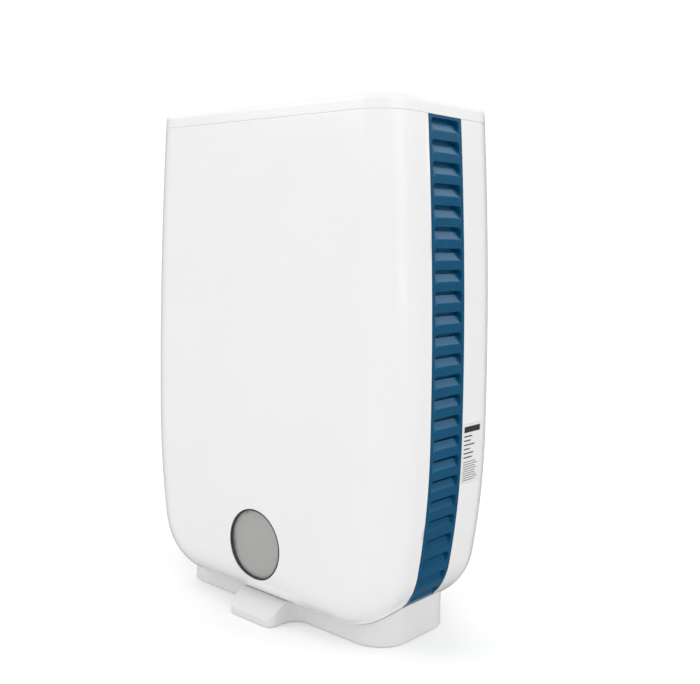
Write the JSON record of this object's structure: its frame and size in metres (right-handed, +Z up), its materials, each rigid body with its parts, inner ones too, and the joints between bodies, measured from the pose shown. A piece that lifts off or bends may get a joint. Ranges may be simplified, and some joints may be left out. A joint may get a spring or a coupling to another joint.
{
  "type": "dehumidifier",
  "caption": "Upright portable desiccant dehumidifier with louvred side grilles, a round water window, a slide-out tank, an outlet flap and a flat stand.",
  "frame": {"origin": "centre of the footprint, on the floor", "axes": "+Z up, -Y towards the front panel, +X to the right seen from the front"},
  "size_m": [0.3412, 0.178, 0.498],
  "materials": {
    "white_gloss": "gloss white, lightly polished",
    "white_satin": "satin white, fine moulded texture",
    "petrol_blue": "satin petrol blue moulding",
    "window_smoke": "smoked clear lens",
    "dark_trim": "dark grey satin",
    "tank_clear": "frosted clear tank moulding",
    "grey_inner": "mid grey inner moulding",
    "rubber": "matt rubber",
    "steel": "plated steel",
    "desiccant": "porous ceramic paper",
    "filter_cloth": "fine filter net",
    "board": "circuit board lacquer",
    "label": "blank silver label",
    "panel_grey": "satin light grey",
    "lamp": "tinted light pipe"
  },
  "bodies": {
    "housing": {"front_cover": "white_gloss", "rear_shell": "white_gloss", "top_lid": "white_gloss", "back_cover": "white_gloss", "stand": "white_satin", "stand_plate": "white_satin", "base_pan": "white_satin", "tank_tray": "white_satin", "chassis": "white_satin", "fan_scroll": "white_satin", "rotor_cassette": "white_satin", "drain_tray": "white_satin", "drain_spigot": "white_satin", "side_grille_right": "petrol_blue", "side_grille_left": "petrol_blue", "window_lens": "window_smoke", "window_ring": "dark_trim", "outlet_grille": "dark_trim", "display_window": "dark_trim", "cord_gland": "dark_trim", "reed_switch": "dark_trim", "condenser": "grey_inner", "regen_housing": "grey_inner", "louvre_stepper": "grey_inner", "rubber_pads": "rubber", "stand_screws": "steel", "cover_screws": "steel", "wheel_axle": "steel", "fan_motor": "steel", "regen_motor": "steel", "wheel_motor": "steel", "heater_box": "steel", "heater_coil": "steel", "control_board": "board", "power_board": "board", "rating_label": "label", "control_panel": "panel_grey", "indicator_lamps": "lamp"},
    "wheel": {"desiccant_wheel": "desiccant", "wheel_hub": "grey_inner", "wheel_gear_rim": "grey_inner"},
    "pinion": {"drive_pinion": "grey_inner"},
    "fan": {"fan_impeller": "grey_inner", "fan_shaft": "steel"},
    "regen_fan": {"regen_impeller": "grey_inner"},
    "louvre": {"outlet_louvre": "white_gloss"},
    "handle": {"carry_handle": "white_gloss"},
    "tank": {"water_tank": "tank_clear", "tank_lid": "tank_clear", "tank_face": "white_gloss"},
    "float": {"float_arm": "grey_inner", "float_magnet": "steel"},
    "filter": {"intake_grille": "white_gloss", "filter_mesh": "filter_cloth"},
    "plug": {"drain_plug": "rubber"},
    "button_1": {"push_button_1": "white_gloss"},
    "button_2": {"push_button_2": "white_gloss"},
    "button_3": {"push_button_3": "white_gloss"},
    "button_4": {"push_button_4": "white_gloss"}
  },
  "joints": [
    {"name": "wheel_spin", "type": "hinge", "parent": "housing", "child": "wheel", "pos_m": [0, 0.019, 0.303], "axis": [0, 1, 0], "continuous": true},
    {"name": "pinion_spin", "type": "hinge", "parent": "housing", "child": "pinion", "pos_m": [-0.09571, 0.014, 0.20729], "axis": [0, 1, 0], "continuous": true},
    {"name": "fan_spin", "type": "hinge", "parent": "housing", "child": "fan", "pos_m": [0, -0.033, 0.283], "axis": [0, 1, 0], "continuous": true},
    {"name": "regen_fan_spin", "type": "hinge", "parent": "housing", "child": "regen_fan", "pos_m": [0.118, -0.03, 0.165], "axis": [0, 1, 0], "continuous": true},
    {"name": "louvre_hinge", "type": "hinge", "parent": "housing", "child": "louvre", "pos_m": [0, -0.0161, 0.494], "axis": [-1, 0, 0], "range_deg": [0, 85]},
    {"name": "handle_hinge", "type": "hinge", "parent": "housing", "child": "handle", "pos_m": [0, 0.06475, 0.49175], "axis": [-1, 0, 0], "range_deg": [0, 90]},
    {"name": "tank_slide", "type": "slide", "parent": "housing", "child": "tank", "axis": [0, 1, 0], "range_m": [0, 0.165]},
    {"name": "float_hinge", "type": "hinge", "parent": "tank", "child": "float", "pos_m": [-0.07, 0.03, 0.107], "axis": [-1, 0, 0], "range_deg": [0, 20]},
    {"name": "filter_slide", "type": "slide", "parent": "housing", "child": "filter", "axis": [0, 1, 0], "range_m": [0, 0.03]},
    {"name": "plug_slide", "type": "slide", "parent": "housing", "child": "plug", "axis": [0, 1, 0], "range_m": [0, 0.02]},
    {"name": "button_1_press", "type": "slide", "parent": "housing", "child": "button_1", "axis": [0, 0, -1], "range_m": [0, 0.001], "stiffness_N_per_m": 400},
    {"name": "button_2_press", "type": "slide", "parent": "housing", "child": "button_2", "axis": [0, 0, -1], "range_m": [0, 0.001], "stiffness_N_per_m": 400},
    {"name": "button_3_press", "type": "slide", "parent": "housing", "child": "button_3", "axis": [0, 0, -1], "range_m": [0, 0.001], "stiffness_N_per_m": 400},
    {"name": "button_4_press", "type": "slide", "parent": "housing", "child": "button_4", "axis": [0, 0, -1], "range_m": [0, 0.001], "stiffness_N_per_m": 400}
  ],
  "couplings": [
    {"joint": "pinion_spin", "follows": "wheel_spin", "ratio": -8}
  ]
}
